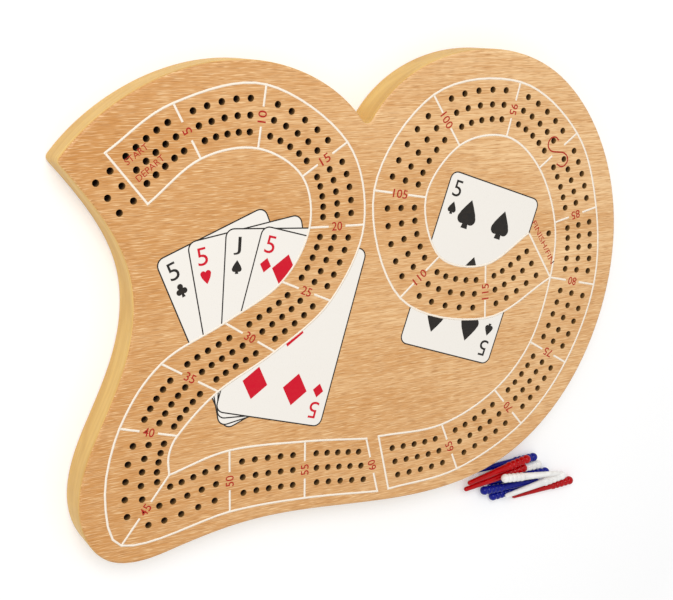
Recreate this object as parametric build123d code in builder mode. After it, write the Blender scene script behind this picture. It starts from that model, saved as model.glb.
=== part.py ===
"""Three-lane cribbage board cut in the shape of the number 29, with a peg store in its back.

Millimetres. The board lies face up on z = 0, centred on the origin, with the number's top
towards +Y. Ten loose pegs lie beside its lower right edge.
"""

import os
from math import atan2, cos, degrees, radians, sin, sqrt

from build123d import *

os.makedirs("parts", exist_ok=True)

# ---------------------------------------------------------------- board
BOARD_THICKNESS = 19.0
VENEER_THICKNESS = 0.6
TOP_ROUND = 1.5  # radius of the eased edge round the face
BACK_ROUND = 1.0  # radius of the eased edge round the back
CORNER_ROUND = 2.8  # upright corners: the tip of the 2 and the notch between the digits

# The rim, clockwise from the tip of the 2: over the 2 to the notch, then round the 9.
RIM_OVER_TWO = [
    (-151.0, 71.5),
    (-124.0, 95.0),
    (-57.0, 110.5),
    (-10.5, 88.0),
    (-3.0, 78.5),
]
RIM_ROUND_NINE_AND_BACK = [
    (-3.0, 78.5),
    (20.5, 102.5),
    (60.0, 113.5),
    (104.0, 103.0),
    (133.5, 73.0),
    (149.5, 23.0),
    (143.5, -27.0),
    (116.5, -74.5),
    (79.5, -101.0),
    (24.0, -110.0),
    (-29.5, -106.0),
    (-66.0, -105.0),
    (-103.0, -110.5),
    (-123.5, -113.5),
    (-136.0, -110.5),
    (-148.0, -93.0),
    (-146.5, -67.5),
    (-134.5, -40.5),
    (-122.0, -7.5),
    (-121.5, 21.0),
    (-138.5, 55.5),
    (-151.0, 71.5),
]

# ---------------------------------------------------------------- peg holes
HOLE_DIAMETER = 3.2
HOLE_DEPTH = 11.0
HOLES_PER_GROUP = 5
LANE_STEP = 0.26  # lane to lane, as a share of the track's width between its rails

# Both rails of each track: (groups passed, point on one rail, point on the other rail, how far
# the middle lane lies off the middle towards the other rail). The 2 turns a sharp corner after
# nine groups, on its first rail.
TRACK_OF_TWO = [
    (0, (-130.0, 74.0), (-112.0, 51.0), -0.2),
    (1, (-99.0, 93.5), (-87.0, 69.0), -0.2),
    (2, (-55.0, 100.0), (-59.5, 72.0), 0.0),
    (3, (-14.0, 72.5), (-37.5, 58.0), 0.4),
    (4, (-5.0, 33.0), (-34.0, 34.0), 0.5),
    (5, (-23.0, -2.0), (-48.5, 10.0), -0.8),
    (6, (-52.5, -23.0), (-77.5, -6.0), -1.5),
    (7, (-81.5, -38.0), (-108.5, -21.0), -1.7),
    (8, (-102.0, -56.0), (-129.0, -48.0), -2.5),
    (8.5, (-106.5, -65.0), (-137.0, -77.5), -2.6),
    (9, (-106.5, -74.0), (-130.5, -103.5), -1.0),
    (10, (-76.5, -67.5), (-77.0, -98.0), -0.5),
    (11, (-37.0, -70.0), (-37.5, -99.0), -0.5),
    (12, (-3.0, -74.5), (3.5, -103.5), 0.0),
]
TRACK_OF_NINE = [
    (0, (4.0, -74.5), (10.0, -103.5), 0.8),
    (1, (41.5, -74.5), (51.5, -100.5), -0.1),
    (2, (74.0, -61.0), (92.0, -82.5), -0.5),
    (3, (96.0, -38.0), (120.0, -52.5), -0.2),
    (4, (107.5, -4.5), (137.0, -11.5), 1.7),
    (5, (109.0, 24.5), (136.0, 30.5), 1.2),
    (6, (97.5, 53.5), (121.0, 70.0), 0.6),
    (7, (76.5, 70.5), (84.0, 97.0), 1.3),
    (8, (48.5, 67.5), (33.0, 92.5), 0.8),
    (9, (29.5, 43.5), (0.5, 49.0), -1.2),
    (10, (38.0, 13.5), (15.5, -5.0), 0.0),
    (11, (66.0, 6.5), (66.5, -21.5), 0.6),
    (12, (92.5, 20.5), (107.5, -4.5), 1.1),
]
SHARP_TURN_OF_TWO = 9

# Two rows of three starting holes stand before the track, and one game hole after it.
START_CENTRE = (-126.5, 57.2)
START_ROW_GAP = 8.0
START_HOLE_PITCH = 8.3
START_HEADING = -54.0  # degrees, along each starting row
GAME_HOLE = (105.3, 19.1)

# ---------------------------------------------------------------- peg store in the back
STORE_CENTRE = (-40.0, -52.5)
STORE_LENGTH = 46.0
STORE_WIDTH = 23.0
COVER_THICKNESS = 0.8
COVER_OVERLAP = 2.0  # how far the cover reaches past the store on every side
COVER_SIDE_CLEARANCE = 0.3
COVER_FLAT_CLEARANCE = 0.15  # above and below the cover
COVER_CORNER = 3.0
COVER_TRAVEL = 47.0
LIP_THICKNESS = 1.6  # wood under the cover's edges, back veneer included
THUMB_HOLE = 7.0
THUMB_HOLE_INSET = 8.0

# ---------------------------------------------------------------- pegs
PEG_LENGTH = 41.0
PEG_TIP_DIAMETER = 2.5
PEG_NECK_DIAMETER = 4.0
PEG_HEAD_DIAMETER = 4.8
PEG_GROOVE_DIAMETER = 3.8
PEG_BEADS = 4
PEG_BEAD_PITCH = 2.8
# tip of each peg, heading from tip to head, height above its place on the table, and how many
# degrees its head leans up from lying there
PEGS = [
    ("peg_blue_1", (75.0, -112.5), 2.5, 0.0, 0.0),
    ("peg_white_1", (78.4, -117.5), 2.5, 0.0, 0.0),
    ("peg_blue_2", (83.8, -121.3), 0.4, 0.0, 0.0),
    ("peg_blue_3", (117.7, -125.4), 176.5, 2.2, 0.5),
    ("peg_blue_4", (125.5, -127.5), 181.9, 0.0, 0.0),
    ("peg_red_1", (101.4, -132.6), 4.3, 0.0, 0.0),
    ("peg_red_2", (66.9, -116.0), 11.0, 6.0, -1.0),
    ("peg_red_3", (65.7, -119.9), 8.6, 4.5, -1.0),
    ("peg_white_2", (126.4, -120.0), 173.1, 9.3, -0.2),
    ("peg_white_3", (92.0, -128.2), 7.5, 6.2, -1.9),
]


def rail_point(rows, side, passed, corner=None):
    """Point on one rail of a track after so many groups, smooth except at a corner."""
    knots = [row[0] for row in rows]
    points = [Vector(*row[1 + side], 0) for row in rows]
    last = len(rows) - 1
    start = max(i for i in range(last) if knots[i] <= passed)

    def slope(i, towards):
        low, high = max(i - 1, 0), min(i + 1, last)
        if knots[i] == corner:
            low, high = (i, high) if towards > 0 else (low, i)
        return (points[high] - points[low]) * (1 / (knots[high] - knots[low]))

    span = knots[start + 1] - knots[start]
    t = (passed - knots[start]) / span
    return (
        points[start] * (2 * t**3 - 3 * t**2 + 1)
        + slope(start, 1) * (span * (t**3 - 2 * t**2 + t))
        + points[start + 1] * (3 * t**2 - 2 * t**3)
        + slope(start + 1, -1) * (span * (t**3 - t**2))
    )


def lane_shift(rows, passed):
    """How far the middle lane lies off the middle of the track, in proportion between rows."""
    start = max(i for i in range(len(rows) - 1) if rows[i][0] <= passed)
    low, high = rows[start], rows[start + 1]
    return low[3] + (high[3] - low[3]) * (passed - low[0]) / (high[0] - low[0])


def track_holes(rows, corner=None):
    """Hole centres of the three lanes, evenly spaced within each group."""
    centres = []
    for group in range(rows[-1][0]):
        for hole in range(1, HOLES_PER_GROUP + 1):
            passed = group + hole / (HOLES_PER_GROUP + 1)
            first = rail_point(rows, 0, passed, corner)
            across = rail_point(rows, 1, passed) - first
            shift = lane_shift(rows, passed) / across.length
            for lane in (-1, 0, 1):
                centre = first + across * (0.5 + lane * LANE_STEP + shift)
                centres.append((centre.X, centre.Y))
    return centres


def start_holes():
    """Two rows of three holes, side by side."""
    along = Vector(cos(radians(START_HEADING)), sin(radians(START_HEADING)), 0)
    across = Vector(-along.Y, along.X, 0)
    centres = []
    for row in (-0.5, 0.5):
        for place in (-1, 0, 1):
            step = across * (row * START_ROW_GAP) + along * (place * START_HOLE_PITCH)
            centres.append((START_CENTRE[0] + step.X, START_CENTRE[1] + step.Y))
    return centres


def finish(part, name):
    """Label a finished piece and write it out."""
    part.label = name
    export_step(part, f"parts/{name}.step")


# ================================================================ board blank
hole_centres = track_holes(TRACK_OF_TWO, SHARP_TURN_OF_TWO) + track_holes(TRACK_OF_NINE)
hole_centres += start_holes() + [GAME_HOLE]

with BuildPart() as blank:
    with BuildSketch():
        with BuildLine():
            Spline(*RIM_OVER_TWO)
            Spline(*RIM_ROUND_NINE_AND_BACK)
        make_face()
    extrude(amount=BOARD_THICKNESS)
    fillet(blank.edges().filter_by(Axis.Z), radius=CORNER_ROUND)
    fillet(blank.faces().sort_by(Axis.Z)[-1].edges(), radius=TOP_ROUND)
    fillet(blank.faces().sort_by(Axis.Z)[0].edges(), radius=BACK_ROUND)

with BuildSketch(Plane.XY.offset(BOARD_THICKNESS)) as peg_holes:
    with Locations(*hole_centres):
        Circle(HOLE_DIAMETER / 2)

# ================================================================ layers of the board
# The holes go right through the face veneer and the drilled board. The closing board shuts
# them, and the peg store goes right through it.
face_side = Plane.XY.offset(BOARD_THICKNESS - VENEER_THICKNESS)
glue_line = Plane.XY.offset(BOARD_THICKNESS - HOLE_DEPTH)
back_side = Plane.XY.offset(VENEER_THICKNESS)

with BuildPart() as face_veneer:
    add(blank.part)
    split(bisect_by=face_side, keep=Keep.TOP)
    extrude(peg_holes.sketch, amount=-BOARD_THICKNESS, mode=Mode.SUBTRACT)
finish(face_veneer.part, "face_veneer")

with BuildPart() as drilled_board:
    add(blank.part)
    split(bisect_by=face_side, keep=Keep.BOTTOM)
    split(bisect_by=glue_line, keep=Keep.TOP)
    extrude(peg_holes.sketch, amount=-BOARD_THICKNESS, mode=Mode.SUBTRACT)
finish(drilled_board.part, "drilled_board")

cover_length = STORE_LENGTH + 2 * COVER_OVERLAP
cover_width = STORE_WIDTH + 2 * COVER_OVERLAP
slot_height = COVER_THICKNESS + 2 * COVER_FLAT_CLEARANCE
slot_length = cover_length + COVER_TRAVEL + 2 * COVER_SIDE_CLEARANCE
slot_width = cover_width + 2 * COVER_SIDE_CLEARANCE
slot_centre = (STORE_CENTRE[0] + COVER_TRAVEL / 2, STORE_CENTRE[1])
mouth_length = STORE_LENGTH + COVER_TRAVEL

with BuildSketch() as mouth:
    with Locations(slot_centre):
        Rectangle(mouth_length, STORE_WIDTH)

with BuildPart() as closing_board:
    add(blank.part)
    split(bisect_by=glue_line, keep=Keep.BOTTOM)
    split(bisect_by=back_side, keep=Keep.TOP)
    # mouth between the lips, then the cover's slot, then the store itself
    extrude(mouth.sketch, amount=LIP_THICKNESS, mode=Mode.SUBTRACT)
    with BuildSketch(Plane.XY.offset(LIP_THICKNESS)):
        with Locations(slot_centre):
            RectangleRounded(slot_length, slot_width, COVER_CORNER)
    extrude(amount=slot_height, mode=Mode.SUBTRACT)
    with BuildSketch(Plane.XY.offset(LIP_THICKNESS + slot_height)):
        with Locations(STORE_CENTRE):
            RectangleRounded(STORE_LENGTH, STORE_WIDTH, COVER_CORNER)
    extrude(amount=BOARD_THICKNESS, mode=Mode.SUBTRACT)
finish(closing_board.part, "closing_board")

with BuildPart() as back_veneer:
    add(blank.part)
    split(bisect_by=back_side, keep=Keep.BOTTOM)
    extrude(mouth.sketch, amount=LIP_THICKNESS, mode=Mode.SUBTRACT)
finish(back_veneer.part, "back_veneer")

# ================================================================ store cover
cover_floor = Plane.XY.offset(LIP_THICKNESS + COVER_FLAT_CLEARANCE)

with BuildPart() as storage_cover:
    with BuildSketch(cover_floor):
        with Locations(STORE_CENTRE):
            RectangleRounded(cover_length, cover_width, COVER_CORNER)
            with Locations((THUMB_HOLE_INSET - cover_length / 2, 0)):
                Circle(THUMB_HOLE / 2, mode=Mode.SUBTRACT)
    extrude(amount=COVER_THICKNESS)
finish(storage_cover.part, "storage_cover")

# ================================================================ pegs
tip_radius = PEG_TIP_DIAMETER / 2
head_radius = PEG_HEAD_DIAMETER / 2
groove_radius = PEG_GROOVE_DIAMETER / 2
dome_start = PEG_LENGTH - head_radius - sqrt(head_radius**2 - groove_radius**2)
neck = dome_start - PEG_BEADS * PEG_BEAD_PITCH
first_crest = neck + PEG_BEAD_PITCH / 2
lying_tilt = degrees(atan2(head_radius - tip_radius, first_crest - tip_radius))

with BuildPart() as peg:
    with BuildSketch(Plane.XZ):
        with BuildLine():
            tip = RadiusArc((0, 0), (tip_radius, tip_radius), tip_radius)
            Line(tip @ 1, (neck, PEG_NECK_DIAMETER / 2))
            Line((neck, PEG_NECK_DIAMETER / 2), (neck, groove_radius))
            for bead in range(PEG_BEADS):
                left = neck + bead * PEG_BEAD_PITCH
                ThreePointArc(
                    (left, groove_radius),
                    (left + PEG_BEAD_PITCH / 2, head_radius),
                    (left + PEG_BEAD_PITCH, groove_radius),
                )
            ThreePointArc(
                (dome_start, groove_radius),
                (PEG_LENGTH - head_radius, head_radius),
                (PEG_LENGTH, 0),
            )
            Line((PEG_LENGTH, 0), (0, 0))
        make_face()
    revolve(axis=Axis.X)

for name, (tip_x, tip_y), heading, height, lean in PEGS:
    resting = Location((tip_x, tip_y, tip_radius + height), (0, 0, heading))
    tilted = Location((0, 0, 0), (0, -lying_tilt - lean, 0))
    finish((resting * tilted) * peg.part, name)
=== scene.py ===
"""Dresses the packed cribbage board: its woods, plastics and steel, the peg holes darkened by
painted shade, the printed track, figures and cards, and the stage it is seen on.

Tables are in millimetres in the board's own frame; everything made from them is in metres.
"""

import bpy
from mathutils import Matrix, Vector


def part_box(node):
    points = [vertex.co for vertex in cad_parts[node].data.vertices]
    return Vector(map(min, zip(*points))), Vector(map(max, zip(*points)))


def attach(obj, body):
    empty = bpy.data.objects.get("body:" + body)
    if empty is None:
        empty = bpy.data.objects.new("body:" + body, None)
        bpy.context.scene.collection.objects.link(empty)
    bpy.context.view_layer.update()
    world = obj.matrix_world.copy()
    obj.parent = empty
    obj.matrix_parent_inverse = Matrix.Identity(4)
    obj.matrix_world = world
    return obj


bl_info = {
    "name": "Cribbage Board Looks",
    "version": (1, 0, 0),
    "blender": (4, 5, 0),
    "location": "3D View > Sidebar > Cribbage",
    "description": "Finishes and prints a three-lane cribbage board and sets its stage",
    "category": "Object",
}

from math import cos, pi, radians, sin, sqrt

import bmesh
import bpy
from bpy.props import FloatProperty, FloatVectorProperty, IntProperty, PointerProperty
from mathutils import Matrix, Vector

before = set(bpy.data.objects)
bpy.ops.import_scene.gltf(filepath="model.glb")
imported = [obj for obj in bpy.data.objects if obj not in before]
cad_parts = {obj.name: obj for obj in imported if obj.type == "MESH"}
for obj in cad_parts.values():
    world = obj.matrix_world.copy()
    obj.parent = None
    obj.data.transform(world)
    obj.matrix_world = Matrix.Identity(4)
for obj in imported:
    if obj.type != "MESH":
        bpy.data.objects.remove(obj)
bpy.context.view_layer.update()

MM = 0.001
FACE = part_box("face_veneer")[1].z  # height of the playing face
HOLE_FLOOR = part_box("closing_board")[1].z  # the peg holes end on the closing board

# ---------------------------------------------------------------- the track, as in the CAD
# Both rails of each track: (groups passed, point on one rail, point on the other rail, how far
# the middle lane lies off the middle towards the other rail).
TRACK_OF_TWO = [
    (0, (-130.0, 74.0), (-112.0, 51.0), -0.2),
    (1, (-99.0, 93.5), (-87.0, 69.0), -0.2),
    (2, (-55.0, 100.0), (-59.5, 72.0), 0.0),
    (3, (-14.0, 72.5), (-37.5, 58.0), 0.4),
    (4, (-5.0, 33.0), (-34.0, 34.0), 0.5),
    (5, (-23.0, -2.0), (-48.5, 10.0), -0.8),
    (6, (-52.5, -23.0), (-77.5, -6.0), -1.5),
    (7, (-81.5, -38.0), (-108.5, -21.0), -1.7),
    (8, (-102.0, -56.0), (-129.0, -48.0), -2.5),
    (8.5, (-106.5, -65.0), (-137.0, -77.5), -2.6),
    (9, (-106.5, -74.0), (-130.5, -103.5), -1.0),
    (10, (-76.5, -67.5), (-77.0, -98.0), -0.5),
    (11, (-37.0, -70.0), (-37.5, -99.0), -0.5),
    (12, (-3.0, -74.5), (3.5, -103.5), 0.0),
]
TRACK_OF_NINE = [
    (0, (4.0, -74.5), (10.0, -103.5), 0.8),
    (1, (41.5, -74.5), (51.5, -100.5), -0.1),
    (2, (74.0, -61.0), (92.0, -82.5), -0.5),
    (3, (96.0, -38.0), (120.0, -52.5), -0.2),
    (4, (107.5, -4.5), (137.0, -11.5), 1.7),
    (5, (109.0, 24.5), (136.0, 30.5), 1.2),
    (6, (97.5, 53.5), (121.0, 70.0), 0.6),
    (7, (76.5, 70.5), (84.0, 97.0), 1.3),
    (8, (48.5, 67.5), (33.0, 92.5), 0.8),
    (9, (29.5, 43.5), (0.5, 49.0), -1.2),
    (10, (38.0, 13.5), (15.5, -5.0), 0.0),
    (11, (66.0, 6.5), (66.5, -21.5), 0.6),
    (12, (92.5, 20.5), (107.5, -4.5), 1.1),
]
SHARP_TURN_OF_TWO = 9
HOLES_PER_GROUP = 5
HOLE_DIAMETER = 3.2
LANE_STEP = 0.26
START_CENTRE = (-126.5, 57.2)
START_ROW_GAP = 8.0
START_HOLE_PITCH = 8.3
START_HEADING = -54.0
GAME_HOLE = (105.3, 19.1)

# ---------------------------------------------------------------- the print
RAIL_STEPS = 8  # pieces of line per group
LEVEL_STEP = 0.15  # how much lower each level of crossing lines lies, in layers of ink
FIGURE_SWELL = 0.008  # fattens the figures' strokes, for letters one unit high
WOOD_UNDER_INK = (0.7, 0.42, 0.2)  # linear colour that worn ink lets through
TURN_MARK = 6  # the group of the 9 whose figure is the long S round two middle holes
TURN_MARK_LINE = [
    (109.0, 67.2),
    (107.4, 68.6),
    (105.0, 68.6),
    (103.0, 66.6),
    (102.8, 63.9),
    (105.0, 61.6),
    (109.0, 61.0),
    (112.7, 60.4),
    (115.1, 58.4),
    (115.4, 56.0),
    (113.6, 53.8),
    (111.2, 53.4),
    (108.8, 54.8),
]
# words on the face: text, middle of the word, heading, length
WORDS = [
    ("START", (-116.3, 72.7), 35.0, 12.0),
    ("DEPART", (-110.4, 66.4), 37.0, 15.2),
    ("FINISH/FIN", (102.0, 14.6), -60.0, 26.5),
]
# cards from the lowest to the one on top: index, suit, middle of the card, turn
FAN_OF_CARDS = [
    ("5", "club", (-67.6, -5.7), 20.9),
    ("5", "heart", (-60.0, -7.1), 8.5),
    ("J", "spade", (-50.9, -9.1), -4.4),
    ("5", "diamond", (-43.3, -13.4), -17.0),
]
SINGLE_CARD = [("5", "spade", (56.9, 4.7), -19.6)]
BIG_PIPS = [(-12.0, 26.0), (9.6, 26.0), (-12.0, -28.0), (9.6, -28.0), (-0.3, -0.6)]
INDEX_PLACE = (-22.4, 36.4)
SMALL_PIP_PLACE = (-22.2, 26.7)

# outlines of the suits, one unit high: discs (middle, radius) and wedges (anticlockwise)
STEM = [(0.0, 0.1), (-0.14, -0.5), (0.14, -0.5)]
SUITS = {
    "diamond": ([], [[(0.45, 0.0), (0.0, 0.54), (-0.45, 0.0), (0.0, -0.54)]]),
    "heart": (
        [((0.19, 0.27), 0.215), ((-0.19, 0.27), 0.215)],
        [
            [
                (0.0, -0.5),
                (0.18, -0.25),
                (0.32, -0.02),
                (0.4, 0.22),
                (0.2, 0.36),
                (-0.2, 0.36),
                (-0.4, 0.22),
                (-0.32, -0.02),
                (-0.18, -0.25),
            ]
        ],
    ),
    "spade": (
        [((0.185, -0.16), 0.195), ((-0.185, -0.16), 0.195)],
        [
            [
                (0.0, 0.5),
                (-0.17, 0.26),
                (-0.31, 0.04),
                (-0.375, -0.14),
                (-0.2, -0.3),
                (0.2, -0.3),
                (0.375, -0.14),
                (0.31, 0.04),
                (0.17, 0.26),
            ],
            STEM,
        ],
    ),
    "club": (
        [((0.0, 0.28), 0.215), ((0.205, -0.08), 0.215), ((-0.205, -0.08), 0.215)],
        [STEM],
    ),
}

# ---------------------------------------------------------------- the stage, in metres
CAMERA_PLACE = (-0.2895, 0.1345, 0.51526)
CAMERA_RIGHT = (0.87864, 0.0, 0.47749)
CAMERA_UP = (0.11217, 0.97202, -0.20640)
LAMP_PLACE = (-0.45, 0.55, 1.15)
LAMP_WIDTH = 0.9
FLOOR_HEIGHT = -0.0001  # just under the board, so that the two never coincide
SHADOWS_WITHIN = 0.3  # distance from the middle up to which the floor shows all its shadow
WHITE_BEYOND = 1.6  # distance from which the floor is plain white
NEAR_GLOW, FAR_GLOW = 0.12, 0.9


# ================================================================ settings
def srgb(red, green, blue):
    """Linear colour from the 0 to 255 values that a screen shows."""

    def linear(value):
        value /= 255
        return value / 12.92 if value <= 0.04045 else ((value + 0.055) / 1.055) ** 2.4

    return (linear(red), linear(green), linear(blue), 1.0)


def length_setting(name, description, default):
    """A size that the sidebar shows as a distance."""
    return FloatProperty(
        name=name,
        description=description,
        default=default,
        min=0.0,
        precision=5,
        subtype="DISTANCE",
        unit="LENGTH",
    )


def colour_setting(name, description, default):
    """A colour that the sidebar shows as a swatch."""
    return FloatVectorProperty(
        name=name,
        description=description,
        default=default,
        size=4,
        min=0.0,
        max=1.0,
        subtype="COLOR",
    )


class WoodSettings(bpy.types.PropertyGroup):
    """Colours of the wood and of the steel cover."""

    face_light: colour_setting("Face Light", "Pale wood of the face", srgb(252, 214, 162))
    face_dark: colour_setting("Face Dark", "Darker bands of the face", srgb(201, 135, 64))
    face_fleck: colour_setting("Face Fleck", "Short pores of the face", srgb(172, 114, 60))
    rim_light: colour_setting("Rim Light", "Pale wood of the rim", srgb(236, 196, 116))
    rim_dark: colour_setting("Rim Dark", "Darker streaks of the rim", srgb(204, 154, 80))
    back_light: colour_setting("Back Light", "Pale wood of the back", srgb(224, 182, 128))
    back_dark: colour_setting("Back Dark", "Darker bands of the back", srgb(196, 146, 92))
    # painted shade: dark colour of the hole skins, standing in for the shade deep in the holes
    scorched: colour_setting("Shaded Wood", "Darkened walls of the holes", srgb(52, 30, 14))
    steel: colour_setting("Steel", "Brushed plate over the store", srgb(196, 197, 200))


class HoleSettings(bpy.types.PropertyGroup):
    """Sizes of the dark skin inside each peg hole, which paints the shade of the deep hole."""

    skin_gap: length_setting("Skin Gap", "Gap between the skin and the wood", 0.015 * MM)
    skin_rim: length_setting("Skin Rim", "Clean wood left at the mouth of a hole", 0.25 * MM)
    sides: IntProperty(name="Sides", description="Sides of each skin", default=20, min=8, max=32)


class PrintSettings(bpy.types.PropertyGroup):
    """Sizes and colours of the track's print."""

    ink_height: length_setting("Ink Height", "Thickness of one layer of ink", 0.02 * MM)
    line_width: length_setting("Line Width", "Width of the white lines", 1.05 * MM)
    mark_width: length_setting("Mark Width", "Width of the long S", 0.75 * MM)
    figure_height: length_setting("Figure Height", "Height of the figures", 4.2 * MM)
    figure_width: length_setting("Figure Width", "Width of one figure", 2.7 * MM)
    label_gap: length_setting("Label Gap", "Gap in a line for its figures", 10.0 * MM)
    word_height: length_setting("Word Height", "Height of the words", 2.9 * MM)
    line_colour: colour_setting("Line Colour", "White ink of the lines", srgb(255, 243, 226))
    figure_colour: colour_setting("Figure Colour", "Red ink of the figures", srgb(176, 30, 20))


class CardSettings(bpy.types.PropertyGroup):
    """Sizes and colours of the printed cards."""

    width: length_setting("Width", "Width of a card", 57.15 * MM)
    height: length_setting("Height", "Height of a card", 88.9 * MM)
    corner: length_setting("Corner", "Radius of a card's corners", 4.2 * MM)
    outline: length_setting("Outline", "Width of the black outline", 0.62 * MM)
    index_height: length_setting("Index Height", "Height of the index", 8.2 * MM)
    index_width: length_setting("Index Width", "Width of the index", 4.9 * MM)
    big_pip: length_setting("Big Pip", "Height of a big pip", 14.6 * MM)
    small_pip: length_setting("Small Pip", "Height of the pip under the index", 6.4 * MM)
    stock: colour_setting("Card", "Off-white of the cards", srgb(243, 238, 230))
    red: colour_setting("Red", "Red ink of the cards", srgb(208, 8, 40))
    black: colour_setting("Black", "Black ink of the cards", srgb(30, 28, 26))


class PegSettings(bpy.types.PropertyGroup):
    """Colours of the pegs."""

    red: colour_setting("Red", "Red plastic", srgb(188, 0, 8))
    white: colour_setting("White", "White plastic", srgb(250, 249, 246))
    blue: colour_setting("Blue", "Blue plastic", srgb(10, 22, 138))


class StageSettings(bpy.types.PropertyGroup):
    """Light and floor."""

    sky: FloatProperty(name="Sky", description="Strength of the even light", default=0.62, min=0.0)
    lamp: FloatProperty(name="Lamp", description="Power of the large lamp", default=9.0, min=0.0)
    floor: colour_setting("Floor", "Paper under the board", srgb(250, 250, 250))
    floor_size: length_setting("Floor Size", "Side of the floor", 8.0)


# ================================================================ making meshes
def link(thing):
    """Show an object in the scene."""
    bpy.context.scene.collection.objects.link(thing)
    return thing


def to_object(name, shape, material):
    """Turn a bmesh into a piece that rides on the board."""
    mesh = bpy.data.meshes.new(name)
    shape.normal_update()
    shape.to_mesh(mesh)
    shape.free()
    return adopt(link(bpy.data.objects.new(name, mesh)), material)


def adopt(piece, material):
    """Give a finished piece its material and its body."""
    piece.data.materials.clear()
    piece.data.materials.append(material)
    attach(piece, "board")
    return piece


def evaluated_mesh(thing):
    """Plain mesh of an object with its modifiers applied."""
    graph = bpy.context.evaluated_depsgraph_get()
    return bpy.data.meshes.new_from_object(thing.evaluated_get(graph))


def add_prism(shape, outline, low, high):
    """Closed solid on a flat anticlockwise outline, between two heights."""
    bottom = [shape.verts.new((x, y, low)) for x, y in outline]
    top = [shape.verts.new((x, y, high)) for x, y in outline]
    shape.faces.new(bottom[::-1])
    shape.faces.new(top)
    for i, corner in enumerate(bottom):
        j = (i + 1) % len(bottom)
        shape.faces.new((corner, bottom[j], top[j], top[i]))
    return bottom + top


def add_ring(shape, outer, inner, low, high):
    """Closed flat ring between two anticlockwise outlines of as many points."""
    loops = []
    for line, height in ((outer, low), (outer, high), (inner, high), (inner, low)):
        loops.append([shape.verts.new((x, y, height)) for x, y in line])
    for first, second in zip(loops, loops[1:] + loops[:1]):
        for i, corner in enumerate(first):
            j = (i + 1) % len(first)
            shape.faces.new((corner, first[j], second[j], second[i]))
    return [corner for loop in loops for corner in loop]


def place(shape, corners, matrix):
    """Move new corners of a bmesh to their place."""
    bmesh.ops.transform(shape, matrix=matrix, verts=corners)


def turned(at, degrees):
    """Place on the face, in millimetres and degrees."""
    spot = Matrix.Translation((at[0] * MM, at[1] * MM, 0))
    return spot @ Matrix.Rotation(radians(degrees), 4, "Z")


def add_lettering(shape, text, width, height, low, high, matrix, swell=0.0):
    """Closed letters of the given size, centred on their place, fattened by swell."""
    curve = bpy.data.curves.new("lettering", "FONT")
    curve.body = text
    curve.extrude = 0.5
    curve.offset = swell
    curve.resolution_u = 4
    holder = link(bpy.data.objects.new("lettering", curve))
    mesh = evaluated_mesh(holder)
    bpy.data.objects.remove(holder)
    bpy.data.curves.remove(curve)
    letters = bmesh.new()
    letters.from_mesh(mesh)
    bmesh.ops.remove_doubles(letters, verts=letters.verts, dist=1e-4)
    places = [corner.co for corner in letters.verts]
    reach = [(min(at[i] for at in places), max(at[i] for at in places)) for i in range(3)]
    middle = Vector([(a + b) / 2 for a, b in reach])
    wide, tall, deep = (b - a for a, b in reach)
    fit = Matrix.Diagonal((width / wide, height / tall, (high - low) / deep, 1))
    level = Matrix.Translation((0, 0, (low + high) / 2))
    letters.transform(matrix @ level @ fit @ Matrix.Translation(-middle))
    letters.to_mesh(mesh)
    letters.free()
    shape.from_mesh(mesh)
    bpy.data.meshes.remove(mesh)


def cut(shape, cutters):
    """Take the cutters' solids away from a bmesh, and give the mesh that is left."""
    mesh = bpy.data.meshes.new("cut")
    shape.to_mesh(mesh)
    shape.free()
    for cutter in cutters:
        block = link(bpy.data.objects.new("block", mesh))
        tool = block.modifiers.new("Cut", "BOOLEAN")
        tool.operation = "DIFFERENCE"
        tool.solver = "EXACT"
        tool.object = cutter
        mesh = evaluated_mesh(block)
        bpy.data.objects.remove(block)
    return mesh


def helper(name, shape):
    """An object that only serves to cut others."""
    mesh = bpy.data.meshes.new(name)
    shape.to_mesh(mesh)
    shape.free()
    return link(bpy.data.objects.new(name, mesh))


# ================================================================ the track's geometry
def rail_point(rows, side, passed, corner=None):
    """Point on one rail of a track after so many groups, smooth except at a corner."""
    knots = [row[0] for row in rows]
    points = [Vector(row[1 + side]) for row in rows]
    last = len(rows) - 1
    start = max(i for i in range(last) if knots[i] <= passed)

    def slope(i, towards):
        low, high = max(i - 1, 0), min(i + 1, last)
        if knots[i] == corner:
            low, high = (i, high) if towards > 0 else (low, i)
        return (points[high] - points[low]) / (knots[high] - knots[low])

    span = knots[start + 1] - knots[start]
    t = (passed - knots[start]) / span
    return (
        points[start] * (2 * t**3 - 3 * t**2 + 1)
        + slope(start, 1) * (span * (t**3 - 2 * t**2 + t))
        + points[start + 1] * (3 * t**2 - 2 * t**3)
        + slope(start + 1, -1) * (span * (t**3 - t**2))
    )


def lane_shift(rows, passed):
    """How far the middle lane lies off the middle of the track, in proportion between rows."""
    start = max(i for i in range(len(rows) - 1) if rows[i][0] <= passed)
    low, high = rows[start], rows[start + 1]
    return low[3] + (high[3] - low[3]) * (passed - low[0]) / (high[0] - low[0])


def track_holes(rows, corner=None):
    """Hole centres of the three lanes, evenly spaced within each group."""
    centres = []
    for group in range(rows[-1][0]):
        for hole in range(1, HOLES_PER_GROUP + 1):
            passed = group + hole / (HOLES_PER_GROUP + 1)
            first = rail_point(rows, 0, passed, corner)
            across = rail_point(rows, 1, passed) - first
            shift = lane_shift(rows, passed) / across.length
            for lane in (-1, 0, 1):
                centres.append(first + across * (0.5 + lane * LANE_STEP + shift))
    return centres


def start_holes():
    """Two rows of three holes, side by side."""
    along = Vector((cos(radians(START_HEADING)), sin(radians(START_HEADING))))
    across = Vector((-along.y, along.x))
    rows = [(row, step) for row in (-0.5, 0.5) for step in (-1, 0, 1)]
    middle = Vector(START_CENTRE)
    return [middle + across * (a * START_ROW_GAP) + along * (b * START_HOLE_PITCH) for a, b in rows]


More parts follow.
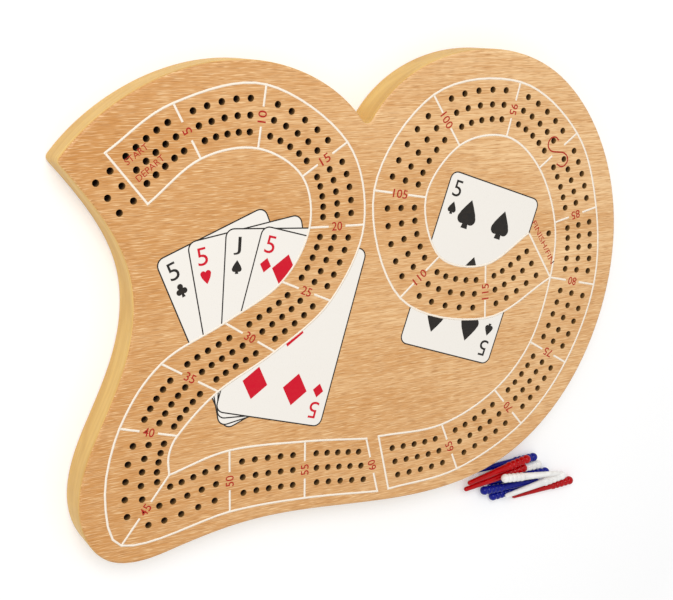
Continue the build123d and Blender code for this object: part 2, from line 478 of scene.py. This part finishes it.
def crossing(rows, passed, corner=None):
    """First and second rail's points after so many groups."""
    return rail_point(rows, 0, passed, corner), rail_point(rows, 1, passed)


def stubs(rows, passed, corner, gap):
    """The two short lines on either side of a group's figures, and the figures' middle."""
    first, second = crossing(rows, passed, corner)
    middle = (first + second) / 2
    reach = (second - first).normalized() * (gap / 2)
    return [first, middle - reach], [middle + reach, second]


def track_lines(rows, corner, plain_rows, gap):
    """All white lines of one track: a level, so that crossing lines differ, and points in mm."""
    groups = rows[-1][0]
    lines = []
    for side in (0, 1):
        breaks = [0, corner, groups] if corner and side == 0 else [0, groups]
        for piece, (start, end) in enumerate(zip(breaks, breaks[1:])):
            steps = (end - start) * RAIL_STEPS
            sharp = corner if side == 0 else None
            stops = [start + (end - start) * i / steps for i in range(steps + 1)]
            lines.append((side + piece, [rail_point(rows, side, stop, sharp) for stop in stops]))
    for passed in range(groups + 1):
        if passed in plain_rows:
            lines.append((3, crossing(rows, passed, corner)))
        else:
            lines.extend((2, stub) for stub in stubs(rows, passed, corner, gap))
    return lines


def track_band(rows, corner, spread):
    """Outline of a track, a little beyond both rails, anticlockwise."""
    steps = rows[-1][0] * RAIL_STEPS
    sides = ([], [])
    for i in range(steps + 1):
        first, second = crossing(rows, i / RAIL_STEPS, corner)
        out = (second - first).normalized() * spread
        sides[0].append(first - out)
        sides[1].append(second + out)
    outline = sides[0] + sides[1][::-1]
    pairs = zip(outline, outline[1:] + outline[:1])
    return outline if sum(a.x * b.y - b.x * a.y for a, b in pairs) > 0 else outline[::-1]


def rounded_rectangle(width, height, radius, steps=6):
    """Anticlockwise outline of a card."""
    points = []
    for corner, (x, y) in enumerate(((1, 1), (-1, 1), (-1, -1), (1, -1))):
        middle = Vector((x * (width / 2 - radius), y * (height / 2 - radius)))
        for step in range(steps + 1):
            turn = radians(90 * (corner + step / steps))
            points.append(middle + Vector((cos(turn), sin(turn))) * radius)
    return points


def furthest_outline(discs, wedges, steps=120):
    """Outline, seen from the origin, of discs and wedges that lie on top of one another."""
    points = []
    for step in range(steps):
        ray = Vector((cos(2 * pi * step / steps), sin(2 * pi * step / steps)))
        reach = 0.0
        for middle, radius in discs:
            middle = Vector(middle)
            along = ray.dot(middle)
            inside = radius**2 - middle.length_squared + along**2
            if inside >= 0:
                reach = max(reach, along + sqrt(inside))
        for wedge in wedges:
            exits = []
            corners = [Vector(corner) for corner in wedge]
            for a, b in zip(corners, corners[1:] + corners[:1]):
                outward = Vector((b.y - a.y, a.x - b.x))
                if ray.dot(outward) > 1e-9:
                    exits.append(a.dot(outward) / ray.dot(outward))
            reach = max(reach, min(exits))
        points.append(ray * reach)
    return points


# ================================================================ node trees
def wire(tree, kind, inputs=None, **settings):
    """Add a node, set its inputs to values or to other nodes' outputs, and give it back."""
    node = tree.nodes.new(kind)
    for key, value in settings.items():
        setattr(node, key, value)
    for key, value in (inputs or {}).items():
        if isinstance(value, bpy.types.Node):
            value = next(output for output in value.outputs if output.enabled)
        if isinstance(value, bpy.types.NodeSocket):
            tree.links.new(value, node.inputs[key])
        else:
            node.inputs[key].default_value = value
    return node


def new_shape_tree(name, inputs):
    """A geometry node tree with named inputs, and its first and last node."""
    tree = bpy.data.node_groups.new(name, "GeometryNodeTree")
    tree.interface.new_socket("Geometry", in_out="INPUT", socket_type="NodeSocketGeometry")
    for label, kind in inputs:
        tree.interface.new_socket(label, in_out="INPUT", socket_type=kind)
    tree.interface.new_socket("Geometry", in_out="OUTPUT", socket_type="NodeSocketGeometry")
    return tree, tree.nodes.new("NodeGroupInput"), tree.nodes.new("NodeGroupOutput")


def end_tree(tree, shape, start, end):
    """Finish a tree: real meshes, then the material."""
    real = wire(tree, "GeometryNodeRealizeInstances", {"Geometry": shape})
    dressed = wire(
        tree,
        "GeometryNodeSetMaterial",
        {"Geometry": real, "Material": start.outputs["Material"]},
    )
    tree.links.new(dressed.outputs[0], end.inputs[0])
    return tree


def run_tree(name, mesh, tree, values, material):
    """Run a geometry node tree on a mesh, keep the result as a plain piece."""
    holder = link(bpy.data.objects.new("holder", mesh))
    modifier = holder.modifiers.new("Nodes", "NODES")
    modifier.node_group = tree
    for item in tree.interface.items_tree:
        if item.name in values:
            modifier[item.identifier] = values[item.name]
    result = evaluated_mesh(holder)
    bpy.data.objects.remove(holder)
    return adopt(link(bpy.data.objects.new(name, result)), material)


def strip_tree():
    """Flat strips of ink along the edges of a mesh."""
    tree, start, end = new_shape_tree(
        "Printed Strips",
        [
            ("Line Width", "NodeSocketFloat"),
            ("Ink Height", "NodeSocketFloat"),
            ("Material", "NodeSocketMaterial"),
        ],
    )
    path = wire(tree, "GeometryNodeMeshToCurve", {"Mesh": start.outputs["Geometry"]})
    level = wire(tree, "GeometryNodeSetCurveNormal", {"Curve": path}, mode="Z_UP")
    section = wire(
        tree,
        "GeometryNodeCurvePrimitiveQuadrilateral",
        {"Width": start.outputs["Line Width"], "Height": start.outputs["Ink Height"]},
    )
    strip = wire(
        tree,
        "GeometryNodeCurveToMesh",
        {"Curve": level, "Profile Curve": section, "Fill Caps": True},
    )
    return end_tree(tree, strip, start, end)


def skin_tree():
    """A short blind tube, open upwards, at every point of a mesh."""
    tree, start, end = new_shape_tree(
        "Hole Skins",
        [
            ("Radius", "NodeSocketFloat"),
            ("Depth", "NodeSocketFloat"),
            ("Sides", "NodeSocketInt"),
            ("Material", "NodeSocketMaterial"),
        ],
    )
    wall = wire(
        tree,
        "GeometryNodeMeshCylinder",
        {
            "Vertices": start.outputs["Sides"],
            "Radius": start.outputs["Radius"],
            "Depth": start.outputs["Depth"],
        },
        fill_type="NONE",
    )
    floor = wire(
        tree,
        "GeometryNodeMeshCircle",
        {"Vertices": start.outputs["Sides"], "Radius": start.outputs["Radius"]},
        fill_type="NGON",
    )
    half = wire(
        tree, "ShaderNodeMath", {0: start.outputs["Depth"], 1: -0.5}, operation="MULTIPLY"
    )
    lowered = wire(tree, "ShaderNodeCombineXYZ", {"Z": half})
    floor_down = wire(
        tree, "GeometryNodeTransform", {"Geometry": floor, "Translation": lowered}
    )
    inward = wire(tree, "GeometryNodeFlipFaces", {"Mesh": wall.outputs["Mesh"]})
    skin = tree.nodes.new("GeometryNodeJoinGeometry")
    tree.links.new(inward.outputs[0], skin.inputs[0])
    tree.links.new(floor_down.outputs[0], skin.inputs[0])
    closed = wire(tree, "GeometryNodeMergeByDistance", {"Geometry": skin, "Distance": 1e-6})
    spread = wire(
        tree,
        "GeometryNodeInstanceOnPoints",
        {"Points": start.outputs["Geometry"], "Instance": closed},
    )
    return end_tree(tree, spread, start, end)


# ================================================================ materials
def new_material(name):
    """A material with only a shader in it, and that shader."""
    material = bpy.data.materials.new(name)
    material.use_nodes = True
    tree = material.node_tree
    tree.nodes.clear()
    shader = tree.nodes.new("ShaderNodeBsdfPrincipled")
    output = tree.nodes.new("ShaderNodeOutputMaterial")
    tree.links.new(shader.outputs[0], output.inputs["Surface"])
    return material, tree, shader


def pattern(tree, stretch, detail=3.0, distortion=0.0):
    """Noise on the object's own coordinates, with its waves per metre along X, Y and Z."""
    coordinates = tree.nodes.new("ShaderNodeTexCoord")
    mapped = wire(
        tree, "ShaderNodeMapping", {"Vector": coordinates.outputs["Object"], "Scale": stretch}
    )
    noise = wire(
        tree,
        "ShaderNodeTexNoise",
        {"Vector": mapped, "Scale": 1.0, "Detail": detail, "Distortion": distortion},
    )
    return noise.outputs["Fac"]


def along(tree, axis):
    """Object's own coordinate along one axis."""
    coordinates = tree.nodes.new("ShaderNodeTexCoord")
    split = wire(tree, "ShaderNodeSeparateXYZ", {"Vector": coordinates.outputs["Object"]})
    return split.outputs[axis]


def span(tree, value, low, high, floor=0.0, ceiling=1.0):
    """Stretch a part of a value's range to another range."""
    return wire(
        tree,
        "ShaderNodeMapRange",
        {"Value": value, "From Min": low, "From Max": high, "To Min": floor, "To Max": ceiling},
    ).outputs["Result"]


def blend(tree, factor, first, second, most=None):
    """Mix two colours; where most is given, the factor's 1 counts as that much."""
    if most is not None:
        factor = span(tree, factor, 0.0, 1.0, 0.0, most)
    node = wire(tree, "ShaderNodeMix", data_type="RGBA")
    for socket, value in ((0, factor), (6, first), (7, second)):
        if isinstance(value, bpy.types.NodeSocket):
            tree.links.new(value, node.inputs[socket])
        else:
            node.inputs[socket].default_value = value
    return node.outputs[2]


def relief(tree, shader, height, distance, strength=1.0):
    """Bump on a shader."""
    bump = wire(
        tree, "ShaderNodeBump", {"Height": height, "Distance": distance, "Strength": strength}
    )
    tree.links.new(bump.outputs[0], shader.inputs["Normal"])


def face_wood(name, light, dark, fleck, gloss):
    """Varnished sheet of wood: wide soft bands, fine lines, short dark flecks, small pale painted
    glints, and painted shade towards its -X end.
    """
    material, tree, shader = new_material(name)
    bands = span(tree, pattern(tree, (6, 34, 20), 2.0, 0.8), 0.32, 0.68)
    # painted shade: the wood darkens towards the -X end, standing in for light that falls off there
    ends = span(tree, along(tree, "X"), -0.16, 0.1, 0.75, 0.0)
    lines = span(tree, pattern(tree, (44, 1300, 400), 4.0, 0.5), 0.34, 0.66)
    pores = span(tree, pattern(tree, (150, 3000, 1100), 1.5), 0.53, 0.68)
    # painted highlight: small pale glints of light on the varnish
    painted_glints = span(tree, pattern(tree, (140, 2900, 1000), 1.5, 0.3), 0.53, 0.68)
    tone = blend(tree, ends, light, dark)
    banded = blend(tree, bands, tone, dark, 0.5)
    lined = blend(tree, lines, banded, dark, 0.62)
    with_painted_glints = blend(tree, painted_glints, lined, light, 0.8)
    coloured = blend(tree, pores, with_painted_glints, fleck, 0.6)
    tree.links.new(coloured, shader.inputs["Base Color"])
    rough = span(tree, lines, 0.0, 1.0, gloss - 0.05, gloss + 0.07)
    tree.links.new(rough, shader.inputs["Roughness"])
    shader.inputs["Specular IOR Level"].default_value = 0.3
    relief(tree, shader, span(tree, pores, 0.0, 1.0, 1.0, 0.0), 0.00003, 0.6)
    return material


def rim_wood(name, light, dark):
    """Sanded edge of the board: streaks along the rim and soft blotches."""
    material, tree, shader = new_material(name)
    streaks = span(tree, pattern(tree, (26, 26, 620), 4.0, 0.3), 0.3, 0.72)
    blotches = span(tree, pattern(tree, (30, 30, 90), 2.0, 0.8), 0.35, 0.7)
    fibres = pattern(tree, (300, 300, 2400), 2.0)
    tone = blend(tree, blotches, light, dark, 0.55)
    streaked = blend(tree, streaks, tone, dark, 0.5)
    tree.links.new(streaked, shader.inputs["Base Color"])
    tree.links.new(span(tree, fibres, 0.3, 0.7, 0.42, 0.58), shader.inputs["Roughness"])
    shader.inputs["Specular IOR Level"].default_value = 0.25
    relief(tree, shader, fibres, 0.00003, 0.5)
    return material


def scorched_wood(name, lit_colour, shade_colour):
    """Wall of a drilled hole: painted shade of the deep hole in a charred colour, lightening
    towards the mouth as painted light, with rings from the drill.
    """
    material, tree, shader = new_material(name)
    rings = span(tree, pattern(tree, (90, 90, 1800), 2.0), 0.35, 0.7)
    # painted light: each wall turns lighter over its top 3.5 mm, towards the mouth
    depth = span(tree, along(tree, "Z"), FACE - 0.0035, FACE - 0.0002)
    lit_near_mouth = blend(tree, depth, shade_colour, lit_colour, 0.6)
    ringed = blend(tree, rings, lit_near_mouth, shade_colour, 0.3)
    tree.links.new(ringed, shader.inputs["Base Color"])
    tree.links.new(span(tree, rings, 0.0, 1.0, 0.7, 0.9), shader.inputs["Roughness"])
    relief(tree, shader, rings, 0.00004, 0.6)
    return material


def ink(name, colour, wear=0.12, gloss=0.45):
    """Screen-printed ink: slightly uneven in colour and gloss, with the grain showing through."""
    material, tree, shader = new_material(name)
    mottle = span(tree, pattern(tree, (700, 700, 700), 3.0), 0.35, 0.7)
    grain = span(tree, pattern(tree, (60, 900, 300), 3.0), 0.45, 0.75)
    worn = tuple(part * 0.78 + 0.22 * wood for part, wood in zip(colour[:3], WOOD_UNDER_INK))
    tone = blend(tree, mottle, colour, worn + (1.0,), wear)
    printed = blend(tree, grain, tone, worn + (1.0,), wear)
    tree.links.new(printed, shader.inputs["Base Color"])
    tree.links.new(span(tree, mottle, 0.0, 1.0, gloss, gloss + 0.12), shader.inputs["Roughness"])
    shader.inputs["Specular IOR Level"].default_value = 0.2
    relief(tree, shader, mottle, 0.00001, 0.4)
    return material


def plastic(name, colour):
    """Glossy moulded plastic with faint flow marks."""
    material, tree, shader = new_material(name)
    flow = span(tree, pattern(tree, (90, 420, 420), 2.0, 1.2), 0.35, 0.7)
    deeper = tuple(part * 0.82 for part in colour[:3]) + (1.0,)
    tree.links.new(blend(tree, flow, colour, deeper), shader.inputs["Base Color"])
    haze = pattern(tree, (1400, 1400, 1400), 2.0)
    tree.links.new(span(tree, haze, 0.3, 0.7, 0.1, 0.18), shader.inputs["Roughness"])
    shader.inputs["Specular IOR Level"].default_value = 0.2
    relief(tree, shader, haze, 0.00001, 0.35)
    return material


def brushed_steel(name, colour):
    """Rolled plate brushed along its length."""
    material, tree, shader = new_material(name)
    brush = pattern(tree, (40, 5200, 900), 4.0)
    smudge = pattern(tree, (60, 60, 60), 3.0, 0.5)
    dim = tuple(part * 0.72 for part in colour[:3]) + (1.0,)
    share = span(tree, brush, 0.3, 0.7, 0.0, 0.7)
    tree.links.new(blend(tree, share, colour, dim), shader.inputs["Base Color"])
    shader.inputs["Metallic"].default_value = 1.0
    shader.inputs["Anisotropic"].default_value = 0.5
    tree.links.new(span(tree, smudge, 0.3, 0.7, 0.26, 0.4), shader.inputs["Roughness"])
    relief(tree, shader, brush, 0.00001, 0.5)
    return material


def dress(node, material):
    """Give a CAD node its material."""
    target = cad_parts[node]
    if not target.material_slots:
        target.data.materials.append(material)
    for slot in target.material_slots:
        slot.material = material


# ================================================================ operators
class CRIBBAGE_OT_dress_board(bpy.types.Operator):
    """Finish the layers of the board and the steel cover of the peg store"""

    bl_idname = "cribbage.dress_board"
    bl_label = "Wood and Steel"

    def execute(self, context):
        wood = context.scene.cribbage_wood
        fleck = wood.face_fleck
        face = face_wood("Varnished face wood", wood.face_light, wood.face_dark, fleck, 0.38)
        back = face_wood("Back wood", wood.back_light, wood.back_dark, fleck, 0.55)
        rim = rim_wood("Sanded rim wood", wood.rim_light, wood.rim_dark)
        dress("face_veneer", face)
        dress("drilled_board", rim)
        dress("closing_board", rim)
        dress("back_veneer", back)
        dress("storage_cover", brushed_steel("Brushed steel", wood.steel))
        return {"FINISHED"}


class CRIBBAGE_OT_dress_pegs(bpy.types.Operator):
    """Finish the ten loose pegs in red, white and blue plastic"""

    bl_idname = "cribbage.dress_pegs"
    bl_label = "Pegs"

    def execute(self, context):
        pegs = context.scene.cribbage_pegs
        for colour in ("red", "white", "blue"):
            material = plastic(f"{colour.capitalize()} peg plastic", getattr(pegs, colour))
            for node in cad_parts:
                if node.startswith(f"peg_{colour}"):
                    dress(node, material)
        return {"FINISHED"}


class CRIBBAGE_OT_line_holes(bpy.types.Operator):
    """Line every peg hole with a dark skin: painted shade of the deep hole, with painted light near
    its mouth
    """

    bl_idname = "cribbage.line_holes"
    bl_label = "Hole Skins"

    def execute(self, context):
        holes = context.scene.cribbage_holes
        centres = track_holes(TRACK_OF_TWO, SHARP_TURN_OF_TWO) + track_holes(TRACK_OF_NINE)
        centres += start_holes() + [Vector(GAME_HOLE)]
        top = FACE - holes.skin_rim
        bottom = HOLE_FLOOR + holes.skin_gap
        middle = (top + bottom) / 2
        mesh = bpy.data.meshes.new("hole_centres")
        mesh.from_pydata([(c.x * MM, c.y * MM, middle) for c in centres], [], [])
        wood = context.scene.cribbage_wood
        # painted shade in the holes, with painted light near their mouths
        material = scorched_wood("Shaded wood", wood.rim_dark, wood.scorched)
        values = {
            "Radius": HOLE_DIAMETER / 2 * MM - holes.skin_gap,
            "Depth": top - bottom,
            "Sides": holes.sides,
            "Material": material,
        }
        run_tree("painted_shade_skins", mesh, skin_tree(), values, material)
        return {"FINISHED"}


class CRIBBAGE_OT_print_lines(bpy.types.Operator):
    """Print the white lines of both tracks and the red turn mark"""

    bl_idname = "cribbage.print_lines"
    bl_label = "Track Lines"

    def execute(self, context):
        look = context.scene.cribbage_print
        gap = look.label_gap / MM
        lines = track_lines(TRACK_OF_TWO, SHARP_TURN_OF_TWO, (0,), gap)
        lines += track_lines(TRACK_OF_NINE, None, (0, TRACK_OF_NINE[-1][0]), gap)
        tree = strip_tree()
        white = ink("White ink", look.line_colour, 0.3)
        red = ink("Red figure ink", look.figure_colour, 0.2)
        jobs = (
            ("track_lines", lines, look.line_width, white),
            ("turn_mark", [(0, self.smooth(TURN_MARK_LINE))], look.mark_width, red),
        )
        for name, chains, width, material in jobs:
            mesh = self.chain_mesh(chains, width)
            values = {"Line Width": width, "Ink Height": look.ink_height, "Material": material}
            run_tree(name, mesh, tree, values, material)
        return {"FINISHED"}

    @staticmethod
    def chain_mesh(chains, width):
        """Edges along each line, half a width longer at its ends, each level a bit lower."""
        ink_height = bpy.context.scene.cribbage_print.ink_height
        corners, edges = [], []
        for level, chain in chains:
            height = FACE + ink_height * (0.5 - LEVEL_STEP * level)
            line = [Vector(point) for point in chain]
            line[0] = line[0] + (line[0] - line[1]).normalized() * (width / MM / 2)
            line[-1] = line[-1] + (line[-1] - line[-2]).normalized() * (width / MM / 2)
            first = len(corners)
            corners += [(p.x * MM, p.y * MM, height) for p in line]
            edges += [(first + i, first + i + 1) for i in range(len(line) - 1)]
        mesh = bpy.data.meshes.new("printed_paths")
        mesh.from_pydata(corners, edges, [])
        return mesh

    @staticmethod
    def smooth(points, steps=6):
        """Round off a drawn line with the same rule as the rails."""
        rows = [(i, point, point) for i, point in enumerate(points)]
        last = len(points) - 1
        return [rail_point(rows, 0, last * i / (last * steps)) for i in range(last * steps + 1)]


class CRIBBAGE_OT_print_figures(bpy.types.Operator):
    """Print the red figures of the groups and the words for start and finish"""

    bl_idname = "cribbage.print_figures"
    bl_label = "Figures and Words"

    def execute(self, context):
        look = context.scene.cribbage_print
        low, high = FACE, FACE + look.ink_height
        shape = bmesh.new()
        marks = []
        groups_of_two, groups_of_nine = TRACK_OF_TWO[-1][0], TRACK_OF_NINE[-1][0]
        for group in range(1, groups_of_two + 1):
            marks.append((TRACK_OF_TWO, group, HOLES_PER_GROUP * group, SHARP_TURN_OF_TWO))
        for group in range(1, groups_of_nine):
            number = HOLES_PER_GROUP * (groups_of_two + group)
            if group != TURN_MARK:
                marks.append((TRACK_OF_NINE, group, number, None))
        for rows, group, number, corner in marks:
            first, second = crossing(rows, group, corner)
            heading = Vector((1, 0)).angle_signed(first - second) * -180 / pi
            spot = turned((first + second) / 2, heading)
            text = str(number)
            width = look.figure_width * len(text)
            add_lettering(shape, text, width, look.figure_height, low, high, spot, FIGURE_SWELL)
        for text, middle, heading, length in WORDS:
            spot = turned(middle, heading)
            add_lettering(shape, text, length * MM, look.word_height, low, high, spot)
        red = bpy.data.materials["Red figure ink"]
        to_object("figures_and_words", shape, red)
        return {"FINISHED"}


class CRIBBAGE_OT_print_cards(bpy.types.Operator):
    """Print the fan of four cards and the single card, under the tracks that cross them"""

    bl_idname = "cribbage.print_cards"
    bl_label = "Cards"

    def execute(self, context):
        look = context.scene.cribbage_print
        cards = context.scene.cribbage_cards
        spread = look.line_width / MM / 2
        bands = []
        for rows, corner in ((TRACK_OF_TWO, SHARP_TURN_OF_TWO), (TRACK_OF_NINE, None)):
            shape = bmesh.new()
            outline = [point * MM for point in track_band(rows, corner, spread)]
            add_prism(shape, outline, FACE - MM, FACE + MM)
            bands.append(helper("band", shape))
        inks = {name: bmesh.new() for name in ("stock", "red", "black")}
        helpers = list(bands)
        for pile in (FAN_OF_CARDS, SINGLE_CARD):
            above = []
            for card in reversed(pile):
                shapes = self.card_shapes(card, cards, look.ink_height, not above)
                for name, shape in shapes.items():
                    mesh = cut(shape, bands + above)
                    inks[name].from_mesh(mesh)
                shape = bmesh.new()
                outline = rounded_rectangle(cards.width, cards.height, cards.corner)
                corners = add_prism(shape, outline, FACE - MM, FACE + MM)
                place(shape, corners, turned(card[2], card[3]))
                above.append(helper("card", shape))
            helpers += above
        for thing in helpers:
            bpy.data.objects.remove(thing)
        finishes = (
            ("card_faces", "stock", ink("Card white", cards.stock, 0.05)),
            ("card_red_ink", "red", ink("Card red ink", cards.red, 0.05)),
            ("card_black_ink", "black", ink("Card black ink", cards.black, 0.05)),
        )
        for name, key, material in finishes:
            to_object(name, inks[key], material)
        return {"FINISHED"}

    @staticmethod
    def card_shapes(card, cards, step, on_top):
        """Card face, red ink and black ink of one card, uncut; big pips only on the top card."""
        index, suit, middle, turn = card
        shapes = {name: bmesh.new() for name in ("stock", "red", "black")}
        spot = turned(middle, turn)
        outline = rounded_rectangle(cards.width, cards.height, cards.corner)
        corners = add_prism(shapes["stock"], outline, FACE, FACE + step)
        place(shapes["stock"], corners, spot)
        low, high = FACE + step / 2, FACE + step * 1.75  # from inside the card's layer to above it
        inset = 2 * cards.outline
        inner = rounded_rectangle(
            cards.width - inset, cards.height - inset, cards.corner - cards.outline
        )
        place(shapes["black"], add_ring(shapes["black"], outline, inner, low, high), spot)
        shape = shapes["red" if suit in ("heart", "diamond") else "black"]
        pip = furthest_outline(*SUITS[suit])
        lower_half = -cards.big_pip / MM / 2  # pips centred below this stand on their heads
        pips = [(at, cards.big_pip, at[1] < lower_half) for at in BIG_PIPS if on_top]
        across, up = SMALL_PIP_PLACE
        pips += [((across, up), cards.small_pip, False), ((-across, -up), cards.small_pip, True)]
        for at, size, inverted in pips:
            corners = add_prism(shape, [point * size for point in pip], low, high)
            place(shape, corners, spot @ turned(at, 180 if inverted else 0))
        width = cards.index_width * (0.75 if index == "J" else 1)
        for sign, half_turn in ((1, 0), (-1, 180)):
            at = (INDEX_PLACE[0] * sign, INDEX_PLACE[1] * sign)
            matrix = spot @ turned(at, half_turn)
            add_lettering(shape, index, width, cards.index_height, low, high, matrix)
        return shapes


class CRIBBAGE_OT_set_stage(bpy.types.Operator):
    """Set the white floor, the soft light and the camera"""

    bl_idname = "cribbage.set_stage"
    bl_label = "Stage"

    def execute(self, context):
        settings = context.scene.cribbage_stage
        self.lay_floor(settings)
        self.hang_lights(context, settings)
        self.stand_camera(context)
        context.scene.view_settings.view_transform = "Standard"
        return {"FINISHED"}

    @staticmethod
    def white_glow(tree, strength):
        """Light that only the camera, mirrors and glass see."""
        rays = tree.nodes.new("ShaderNodeLightPath")
        seen = rays.outputs["Is Camera Ray"]
        for other in ("Is Glossy Ray", "Is Transmission Ray"):
            seen = wire(
                tree, "ShaderNodeMath", {0: seen, 1: rays.outputs[other]}, operation="MAXIMUM"
            ).outputs[0]
        return wire(
            tree, "ShaderNodeMath", {0: seen, 1: strength}, operation="MULTIPLY"
        ).outputs[0]

    def lay_floor(self, settings):
        """A paper floor that keeps the shadows near the board and looks white."""
        half = settings.floor_size / 2
        mesh = bpy.data.meshes.new("floor")
        corners = [(-half, -half), (half, -half), (half, half), (-half, half)]
        mesh.from_pydata([(x, y, FLOOR_HEIGHT) for x, y in corners], [], [(0, 1, 2, 3)])
        floor = link(bpy.data.objects.new("floor", mesh))
        material, tree, shader = new_material("Paper floor")
        shader.inputs["Base Color"].default_value = settings.floor
        shader.inputs["Roughness"].default_value = 0.9
        shader.inputs["Specular IOR Level"].default_value = 0.1
        shader.inputs["Emission Color"].default_value = (1, 1, 1, 1)
        coordinates = tree.nodes.new("ShaderNodeTexCoord")
        away = wire(
            tree, "ShaderNodeVectorMath", {0: coordinates.outputs["Object"]}, operation="LENGTH"
        ).outputs["Value"]
        strength = span(tree, away, SHADOWS_WITHIN, WHITE_BEYOND, NEAR_GLOW, FAR_GLOW)
        tree.links.new(self.white_glow(tree, strength), shader.inputs["Emission Strength"])
        mesh.materials.append(material)

    def hang_lights(self, context, settings):
        """An even sky and one large soft lamp on the camera's side."""
        world = bpy.data.worlds.new("Even sky")
        context.scene.world = world
        world.use_nodes = True
        tree = world.node_tree
        tree.nodes.clear()
        sky = wire(
            tree, "ShaderNodeBackground", {"Color": (1, 1, 1, 1), "Strength": settings.sky}
        )
        bright = wire(tree, "ShaderNodeBackground", {"Color": (1, 1, 1, 1), "Strength": 1.0})
        rays = self.white_glow(tree, 1.0)
        both = wire(tree, "ShaderNodeMixShader", {0: rays, 1: sky, 2: bright})
        output = tree.nodes.new("ShaderNodeOutputWorld")
        tree.links.new(both.outputs[0], output.inputs["Surface"])
        lamp = bpy.data.lights.new("soft_lamp", "AREA")
        lamp.shape = "DISK"
        lamp.size = LAMP_WIDTH
        lamp.energy = settings.lamp
        thing = link(bpy.data.objects.new("soft_lamp", lamp))
        thing.location = LAMP_PLACE
        thing.rotation_euler = (-thing.location).to_track_quat("-Z", "Y").to_euler()

    @staticmethod
    def stand_camera(context):
        """The photograph's viewpoint, above the upper left of the board."""
        camera = bpy.data.cameras.new("camera")
        camera.sensor_width = 36.0
        camera.lens = 65.5
        camera.clip_start = 0.01
        camera.clip_end = 50.0
        thing = link(bpy.data.objects.new("camera", camera))
        right, up = Vector(CAMERA_RIGHT), Vector(CAMERA_UP)
        turn = Matrix((right, up, right.cross(up))).transposed().to_4x4()
        thing.matrix_world = Matrix.Translation(CAMERA_PLACE) @ turn
        context.scene.camera = thing


class CRIBBAGE_PT_sidebar(bpy.types.Panel):
    """Lists the steps and their settings"""

    bl_label = "Cribbage Board"
    bl_idname = "CRIBBAGE_PT_sidebar"
    bl_space_type = "VIEW_3D"
    bl_region_type = "UI"
    bl_category = "Cribbage"

    def draw(self, context):
        for operator in OPERATORS:
            self.layout.operator(operator.bl_idname)
        for name, group in SETTINGS.items():
            box = self.layout.box()
            box.label(text=group.__doc__)
            for key in group.__annotations__:
                box.prop(getattr(context.scene, name), key)


SETTINGS = {
    "cribbage_wood": WoodSettings,
    "cribbage_holes": HoleSettings,
    "cribbage_print": PrintSettings,
    "cribbage_cards": CardSettings,
    "cribbage_pegs": PegSettings,
    "cribbage_stage": StageSettings,
}
OPERATORS = (
    CRIBBAGE_OT_dress_board,
    CRIBBAGE_OT_dress_pegs,
    CRIBBAGE_OT_line_holes,
    CRIBBAGE_OT_print_lines,
    CRIBBAGE_OT_print_figures,
    CRIBBAGE_OT_print_cards,
    CRIBBAGE_OT_set_stage,
)


def register():
    """Make the settings, steps and panel known."""
    for name, group in SETTINGS.items():
        bpy.utils.register_class(group)
        setattr(bpy.types.Scene, name, PointerProperty(type=group))
    for kind in (*OPERATORS, CRIBBAGE_PT_sidebar):
        bpy.utils.register_class(kind)


def unregister():
    """Take everything away again."""
    for kind in (CRIBBAGE_PT_sidebar, *reversed(OPERATORS)):
        bpy.utils.unregister_class(kind)
    for name, group in reversed(SETTINGS.items()):
        delattr(bpy.types.Scene, name)
        bpy.utils.unregister_class(group)


def main():
    """Run every step."""
    register()
    bpy.ops.cribbage.dress_board()
    bpy.ops.cribbage.dress_pegs()
    bpy.ops.cribbage.line_holes()
    bpy.ops.cribbage.print_lines()
    bpy.ops.cribbage.print_figures()
    bpy.ops.cribbage.print_cards()
    bpy.ops.cribbage.set_stage()


if __name__ == "__main__":
    main()
